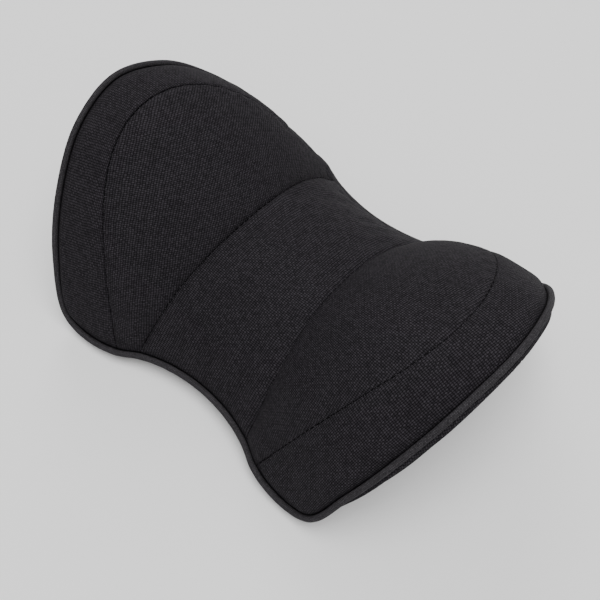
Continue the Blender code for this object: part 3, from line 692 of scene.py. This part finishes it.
def tubes(name, paths, radius, sides):
    """One mesh of closed round tubes with tapered ends, one along each path of points."""
    verts, faces = [], []
    angles = 2 * math.pi * np.arange(sides) / sides
    for path in paths:
        path = np.asarray(path)
        ahead = unit(np.gradient(path, axis=0))
        hint = np.where(np.abs(ahead[:, 2:]) < 0.9, [[0.0, 0.0, 1.0]], [[1.0, 0.0, 0.0]])
        across = unit(np.cross(ahead, hint))
        over = np.cross(across, ahead)
        taper = np.ones(len(path))
        taper[[0, -1]] = 0.45
        first = len(verts)
        for centre, a, b, share in zip(path, across, over, taper):
            turn = np.outer(np.cos(angles), a) + np.outer(np.sin(angles), b)
            verts += (centre + radius * share * turn).tolist()
        for i in range(len(path) - 1):
            for j in range(sides):
                low, high = first + i * sides, first + (i + 1) * sides
                k = (j + 1) % sides
                faces.append((low + j, high + j, high + k, low + k))
        last = first + (len(path) - 1) * sides
        faces.append(tuple(first + j for j in range(sides)))
        faces.append(tuple(last + j for j in reversed(range(sides))))
    mesh = bpy.data.meshes.new(name)
    mesh.from_pydata(verts, [], faces)
    mesh.shade_smooth()
    return mesh


def stitches(line, pitch, share, normals):
    """Stitch paths along a line, each share of the pitch long, with both ends dipping in the cloth."""
    lengths = lengths_along(line)
    paths = []
    for i in range(1, int(lengths[-1] / pitch) - 1):
        places = (i + share * np.linspace(-0.5, 0.5, 5)) * pitch
        points = np.stack([np.interp(places, lengths, line[:, j]) for j in range(3)], axis=-1)
        ups = np.stack([np.interp(places, lengths, normals[:, j]) for j in range(3)], axis=-1)
        arch = np.array([-1.0, 0.4, 1.0, 0.4, -1.0])[:, None] * THREAD_RISE
        paths.append(points + ups * arch)
    return paths


def loop_mesh(name, rings, closed):
    """A tube round the whole edge, from rings of points, each of them closed or left open."""
    count, size = rings.shape[:2]
    index = np.arange(count * size).reshape(count, size)
    if closed:
        index = np.concatenate([index, index[:, :1]], axis=1)
    ahead = np.roll(index, -1, axis=0)
    faces = np.stack([index[:, :-1], index[:, 1:], ahead[:, 1:], ahead[:, :-1]], axis=-1)
    faces = faces.reshape(-1, 4)
    mesh = bpy.data.meshes.new(name)
    mesh.from_pydata(rings.reshape(-1, 3).tolist(), [], faces.tolist())
    bm = bmesh.new()
    bm.from_mesh(mesh)
    bmesh.ops.recalc_face_normals(bm, faces=bm.faces)
    bm.to_mesh(mesh)
    bm.free()
    mesh.shade_smooth()
    return mesh


def make_piping(material, cord_material):
    """The piping: a round roll with two lips that run in between the covers, over a soft cord.

    Its cloth starts and ends at the far side's waist.
    """
    join = 7 * LOOP_STEPS
    lines = (edge_loop, edge_way, edge_up)
    points, way, up = (np.roll(line, -join, axis=0)[::2] for line in lines)
    closed = np.concatenate([points, points[:1]])
    along = lengths_along(closed)
    start = math.asin(FLANGE_HALF / PIPING_RADIUS)
    angles = np.linspace(start, 2 * math.pi - start, ROLL_SIDES)
    place = along[:-1, None]
    ease_in = np.sin(math.pi * place / along[-1]) ** 2
    ripple = wobble(place, 30) * 0.6 + np.sin(angles * 2 + place / MM * 0.9) * 0.5
    radius = PIPING_RADIUS - ROLL_CLEARANCE + ROLL_RIPPLE * ripple * ease_in
    a, b = radius * np.cos(angles), radius * np.sin(angles)
    lip = np.full((len(points), 1), FLANGE_HALF)
    inner = np.full((len(points), 1), PIPING_FLANGE)
    a = np.concatenate([inner, a, inner], axis=1)
    b = np.concatenate([lip, b, -lip], axis=1)
    rings = points[:, None] + way[:, None] * a[..., None] + up[:, None] * b[..., None]
    mesh = loop_mesh("piping", rings, False)
    around = np.concatenate([[start], angles, [2 * math.pi - start]])[None] * PIPING_RADIUS
    # The lips in the crease get the same painted shade, through the cloth attribute's Z.
    crease = ease((a / PIPING_RADIUS - 0.75) / 0.2)
    flat = np.stack(np.broadcast_arrays(place, around, crease), axis=-1)
    cloth = mesh.attributes.new("cloth", "FLOAT_VECTOR", "POINT")
    cloth.data.foreach_set("vector", flat.ravel())
    mesh.set_sharp_from_angle(angle=math.radians(50.0))
    roll = add_piece("piping_roll", mesh, material, "piping_tape", "cushion", "piping_wrap")
    solid = roll.modifiers.new("cloth thickness", "SOLIDIFY")
    solid.thickness = FLANGE_HALF - ROLL_CLEARANCE
    solid.offset = -1.0

    turns = np.linspace(0, 2 * math.pi, CORD_SIDES, endpoint=False)
    a, b = CORD_RADIUS * np.cos(turns)[:, None], CORD_RADIUS * np.sin(turns)[:, None]
    rings = points[::2, None] + way[::2, None] * a + up[::2, None] * b
    core = loop_mesh("piping_core", rings, True)
    add_piece("piping_core", core, cord_material, "piping_cord", "cushion", "piping_cord")


def make_foam(material):
    """The foam block: both skins set in, joined round the rim, and dented where the zip lies."""
    v = np.linspace(-1, 1, FOAM_GRID[1])
    top, _, marks = top_skin(v, PUFF_NEAR, PUFF_NEAR, FOAM_MIDDLES)
    tops = np.linspace(0, 5, FOAM_GRID[0])
    top = monotone(tops, marks, top)
    stations = np.interp(tops, [0, 1, 2, 3, 4, 5], [0, 3, 7, 11, 15, 18])
    below = underside_skin(stations, np.broadcast_to(v, FOAM_GRID))
    skins = []
    for grid, side in ((top, 1), (below, -1)):
        grid = grid - normals_of(grid, side) * FOAM_INSET
        skins.append(grid[FOAM_ROWS:-FOAM_ROWS, FOAM_COLUMNS:-FOAM_COLUMNS])
    upper, lower = skins
    inside = ease((RELIEF_X - np.abs(lower[..., 0])) / RELIEF_FADE + 0.5)
    inside *= ease((RELIEF_Y - np.abs(lower[..., 1])) / RELIEF_FADE + 0.5)
    height = lower[..., 2]
    lower[..., 2] = np.maximum(height, height * (1 - inside) + RELIEF_TOP_Z * inside)
    rows, columns = upper.shape[:2]
    size = rows * columns
    index = np.arange(size).reshape(rows, columns)
    quads = np.stack([index[:-1, :-1], index[:-1, 1:], index[1:, 1:], index[1:, :-1]], axis=-1)
    quads = quads.reshape(-1, 4)
    ring = np.concatenate([index[0, :-1], index[:-1, -1], index[-1, :0:-1], index[:0:-1, 0]])
    following = np.roll(ring, -1)
    rim = np.stack([following, ring, ring + size, following + size], axis=-1)
    faces = np.concatenate([quads, quads[:, ::-1] + size, rim])
    mesh = bpy.data.meshes.new("foam")
    points = np.concatenate([upper.reshape(-1, 3), lower.reshape(-1, 3)])
    mesh.from_pydata(points.tolist(), [], faces.tolist())
    mesh.shade_smooth()
    return add_piece("foam_block", mesh, material, "foam", "cushion", "foam_core")


def make_zip_coils(material):
    """Each side's nylon coil, a flattened helix sewn along the tape's edge."""
    for word in ("back", "front"):
        low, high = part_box(f"zip_teeth_{word}")
        middle, half = (low + high) / 2, (high - low) / 2
        turns = int(2 * half.x / COIL_PITCH)
        angles = np.arange(turns * COIL_STEPS + 1) * 2 * math.pi / COIL_STEPS
        x = low.x + COIL_WIRE + (2 * half.x - 2 * COIL_WIRE) * angles / angles[-1]
        y = middle.y + (half.y - COIL_WIRE) * np.cos(angles)
        z = middle.z + (half.z - COIL_WIRE) * np.sin(angles)
        mesh = tubes(f"zip_coil_{word}", [np.stack([x, y, z], axis=-1)], COIL_WIRE, COIL_SIDES)
        add_piece(f"zip_coil_{word}", mesh, material, "zip_coil", "cushion", f"zip_teeth_{word}")


# ---------------------------------------------------------------- materials


class Nodes:
    """A material's node tree, with short ways to add and link its nodes."""

    def __init__(self, name):
        self.material = bpy.data.materials.new(name)
        self.material.use_nodes = True
        self.tree = self.material.node_tree
        self.shader = self.tree.nodes["Principled BSDF"]

    def add(self, kind, **settings):
        node = self.tree.nodes.new(kind)
        for key, value in settings.items():
            setattr(node, key, value)
        return node

    def put(self, socket, value):
        if isinstance(value, bpy.types.NodeSocket):
            self.tree.links.new(value, socket)
        else:
            socket.default_value = value

    def math(self, operation, *values):
        """A maths node over these sockets and numbers."""
        node = self.add("ShaderNodeMath", operation=operation)
        for socket, value in zip(node.inputs, values):
            self.put(socket, value)
        return node.outputs[0]

    def noise(self, vector, scale, detail=2.0):
        node = self.add("ShaderNodeTexNoise")
        self.put(node.inputs["Vector"], vector)
        node.inputs["Scale"].default_value = scale
        node.inputs["Detail"].default_value = detail
        return node.outputs["Fac"]

    def times_shade(self, tone, value, shade):
        """The tone times least + range * value, where shade is (range, least)."""
        return self.math("MULTIPLY", tone, self.math("MULTIPLY_ADD", value, *shade))

    def blend(self, share, low, high):
        node = self.add("ShaderNodeMix", data_type="RGBA")
        self.put(node.inputs[0], share)
        self.put(node.inputs[6], (*low, 1.0))
        self.put(node.inputs[7], (*high, 1.0))
        return node.outputs[2]

    def bump(self, height, distance, strength=1.0):
        node = self.add("ShaderNodeBump")
        node.inputs["Strength"].default_value = strength
        node.inputs["Distance"].default_value = distance
        self.put(node.inputs["Height"], height)
        self.put(self.shader.inputs["Normal"], node.outputs[0])

    def set(self, **values):
        for key, value in values.items():
            self.put(self.shader.inputs[key.replace("_", " ")], value)


def woven(name, spacing, low, high, favour, depth, turn=0.0):
    """Plain weave laid by the cloth attribute's X and Y: low in the gaps, high on the yarns' crowns.

    favour brightens one direction's yarns over the other's, a painted sheen; depth is the relief's
    height.
    The attribute's Z is 1 in the crease beside the piping, and darkens the colour there as painted
    shade.
    """
    nodes = Nodes(name)
    attribute = nodes.add("ShaderNodeAttribute", attribute_name="cloth")
    parts = nodes.add("ShaderNodeSeparateXYZ")
    nodes.put(parts.inputs[0], attribute.outputs["Vector"])
    flat = nodes.add("ShaderNodeCombineXYZ")
    nodes.put(flat.inputs[0], parts.outputs[0])
    nodes.put(flat.inputs[1], parts.outputs[1])
    place, crease = flat.outputs[0], parts.outputs[2]
    turned = nodes.add("ShaderNodeVectorRotate", rotation_type="Z_AXIS")
    nodes.put(turned.inputs["Vector"], place)
    turned.inputs["Angle"].default_value = math.radians(turn)
    wander = nodes.noise(turned.outputs[0], WANDER_SCALE)
    split = nodes.add("ShaderNodeSeparateXYZ")
    nodes.put(split.inputs[0], turned.outputs[0])
    cells, across = [], []
    for axis in (0, 1):
        scaled = nodes.math("MULTIPLY_ADD", split.outputs[axis], 1.0 / spacing[axis], wander)
        cells.append(nodes.math("FLOOR", scaled))
        off = nodes.math("SUBTRACT", nodes.math("FRACT", scaled), 0.5)
        square = nodes.math("MULTIPLY", off, off)
        across.append(nodes.math("SUBTRACT", 1.0, nodes.math("MULTIPLY", square, 4.0)))
    under = nodes.math("FLOORED_MODULO", nodes.math("ADD", cells[0], cells[1]), 2.0)
    cell = nodes.add("ShaderNodeCombineXYZ")
    for socket, value in zip(cell.inputs, cells):
        nodes.put(socket, value)
    chance = nodes.add("ShaderNodeTexWhiteNoise")
    nodes.put(chance.inputs["Vector"], cell.outputs[0])
    yarns = []
    for round_way, run_way in ((across[0], across[1]), (across[1], across[0])):
        crown = nodes.math("POWER", round_way, CROWN_POWER)
        yarns.append(nodes.times_shade(crown, run_way, RUN_SHADE))
    mixed = nodes.add("ShaderNodeMix", data_type="FLOAT")
    for socket, value in zip(mixed.inputs[:1] + mixed.inputs[2:4], (under, *yarns)):
        nodes.put(socket, value)
    height = mixed.outputs[0]
    fibre = nodes.noise(turned.outputs[0], FIBRE_SCALE, 3.0)
    patch = nodes.noise(place, PATCH_SCALE)
    # Painted sheen: the yarns of one direction brighter than the other's.
    tone = nodes.times_shade(height, under, (favour, 1.0 - favour))
    tone = nodes.math("POWER", tone, TONE_POWER)
    tone = nodes.times_shade(tone, fibre, FIBRE_SHADE)
    tone = nodes.times_shade(tone, patch, PATCH_SHADE)
    # Random tone per yarn crossing: partly the yarns' own unevenness, partly a painted glint of the
    # fibres.
    tone = nodes.times_shade(tone, chance.outputs["Value"], CELL_SHADE)
    # Painted shade: the colour darkened in the crease beside the piping.
    tone = nodes.times_shade(tone, crease, (-CREASE_PAINTED_SHADE, 1.0))
    nodes.set(Base_Color=nodes.blend(tone, low, high))
    nodes.set(Roughness=nodes.math("MULTIPLY_ADD", height, -CROWN_GLOSS, CLOTH_ROUGHNESS))
    nodes.shader.inputs["Specular IOR Level"].default_value = CLOTH_SPECULAR
    nodes.bump(nodes.math("MULTIPLY_ADD", fibre, FIBRE_RELIEF, height), depth)
    return nodes.material


def foam_material():
    """Open foam: paler walls round darker cells."""
    nodes = Nodes("open_cell_foam")
    place = nodes.add("ShaderNodeTexCoord").outputs["Object"]
    cells = nodes.add("ShaderNodeTexVoronoi", feature="DISTANCE_TO_EDGE")
    nodes.put(cells.inputs["Vector"], place)
    cells.inputs["Scale"].default_value = FOAM_CELLS
    edge = cells.outputs["Distance"]
    nodes.set(Base_Color=nodes.blend(edge, (0.20, 0.20, 0.21), (0.10, 0.10, 0.11)))
    nodes.set(Roughness=nodes.math("MULTIPLY_ADD", edge, -0.2, 0.95))
    nodes.bump(edge, 0.3 * MM)
    return nodes.material


def moulded(name, low, high, roughness, metallic, grain, depth):
    """Moulded plastic or coated metal: a fine uneven grain in colour, gloss and relief."""
    nodes = Nodes(name)
    place = nodes.add("ShaderNodeTexCoord").outputs["Object"]
    fine, broad = nodes.noise(place, grain, 3.0), nodes.noise(place, grain / 8, 2.0)
    nodes.set(Base_Color=nodes.blend(broad, low, high))
    nodes.set(Roughness=nodes.math("MULTIPLY_ADD", fine, 0.2, roughness - 0.1))
    nodes.shader.inputs["Metallic"].default_value = metallic
    nodes.bump(fine, depth, 0.5)
    return nodes.material


# ---------------------------------------------------------------- the object


# Each weave's fifth argument is its painted sheen on one direction's yarns.
cover_cloth = woven("cover_weave", YARN_SPACING, GAP_BLACK, YARN_BLACK, 0.2, 0.18 * MM)
piping_cloth = woven(
    "piping_weave", (0.5 * MM, 0.5 * MM), GAP_BLACK, PIPING_BLACK, 0.3, 0.06 * MM, turn=45.0
)
thread_look = moulded(
    "black_thread", (0.020, 0.019, 0.022), (0.045, 0.042, 0.047), 0.5, 0.0, 4000, 0.03 * MM
)
tape_look = moulded(
    "zip_tape_weave", (0.012, 0.012, 0.014), (0.026, 0.025, 0.028), 0.85, 0.0, 2500, 0.08 * MM
)
coil_look = moulded(
    "nylon_coil", (0.012, 0.012, 0.013), (0.022, 0.022, 0.024), 0.35, 0.0, 3000, 0.01 * MM
)
metal_look = moulded(
    "coated_zinc", (0.05, 0.05, 0.053), (0.08, 0.08, 0.083), 0.36, 0.8, 2500, 0.02 * MM
)
cord_look = moulded(
    "foam_cord", (0.45, 0.45, 0.43), (0.6, 0.6, 0.58), 0.6, 0.0, 900, 0.1 * MM
)

make_top_covers(cover_cloth, thread_look)
make_underside_covers(cover_cloth, thread_look)
make_piping(piping_cloth, cord_look)
make_foam(foam_material())
make_zip_coils(coil_look)

# CAD nodes that are shown as they are, with their materials.
CARRIED = {
    "zip_tape_front": tape_look,
    "zip_tape_back": tape_look,
    "zip_top_stop_front": metal_look,
    "zip_top_stop_back": metal_look,
    "zip_bottom_stop": metal_look,
    "zip_slider": metal_look,
    "zip_puller": metal_look,
}
for node, look in CARRIED.items():
    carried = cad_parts[node].data.materials
    carried.clear()
    carried.append(look)


# ---------------------------------------------------------------- camera, light and floor

AIM = Vector((0.0, 0.0, 5.5 * MM))
AZIMUTH, ELEVATION, DISTANCE = math.radians(41.6), math.radians(55.9), 406.3 * MM
# Lens and sensor in millimetres, and the shift as a share of the frame's width.
LENS, SENSOR, SHIFT = 54.18, 36.0, (1 / 120, 1 / 200)


def make_camera():
    camera = bpy.data.cameras.new("camera")
    camera.lens = LENS
    camera.sensor_width = SENSOR
    camera.shift_x, camera.shift_y = SHIFT
    camera.clip_start, camera.clip_end = 0.01, 100.0
    holder = bpy.data.objects.new("camera", camera)
    flat = math.cos(ELEVATION)
    back = Vector((math.sin(AZIMUTH) * flat, -math.cos(AZIMUTH) * flat, math.sin(ELEVATION)))
    holder.location = AIM + back * DISTANCE
    holder.rotation_euler = (-back).to_track_quat("-Z", "Y").to_euler()
    bpy.context.scene.collection.objects.link(holder)
    bpy.context.scene.camera = holder


def add_area_light(name, place, size, power):
    light = bpy.data.lights.new(name, "AREA")
    light.shape = "DISK"
    light.size = size
    light.energy = power
    holder = bpy.data.objects.new(name, light)
    holder.location = place
    holder.rotation_euler = (AIM - Vector(place)).to_track_quat("-Z", "Y").to_euler()
    bpy.context.scene.collection.objects.link(holder)


def make_floor():
    mesh = bpy.data.meshes.new("floor")
    corners = [(x * FLOOR_HALF, y * FLOOR_HALF, 0) for x, y in ((-1, -1), (1, -1), (1, 1), (-1, 1))]
    mesh.from_pydata(corners, [], [(0, 1, 2, 3)])
    floor = bpy.data.objects.new("floor", mesh)
    bpy.context.scene.collection.objects.link(floor)
    nodes = Nodes("pale_floor")
    nodes.set(Base_Color=FLOOR_WHITE, Roughness=FLOOR_ROUGHNESS)
    nodes.shader.inputs["Emission Color"].default_value = WHITE
    nodes.shader.inputs["Emission Strength"].default_value = FLOOR_GLOW
    mesh.materials.append(nodes.material)


def make_world():
    world = bpy.data.worlds.new("studio")
    world.use_nodes = True
    background = world.node_tree.nodes["Background"]
    background.inputs["Color"].default_value = WHITE
    background.inputs["Strength"].default_value = WORLD_LIGHT
    bpy.context.scene.world = world


make_camera()
make_world()
make_floor()
for name, place, size, power in LIGHTS:
    add_area_light(name, place, size, power)
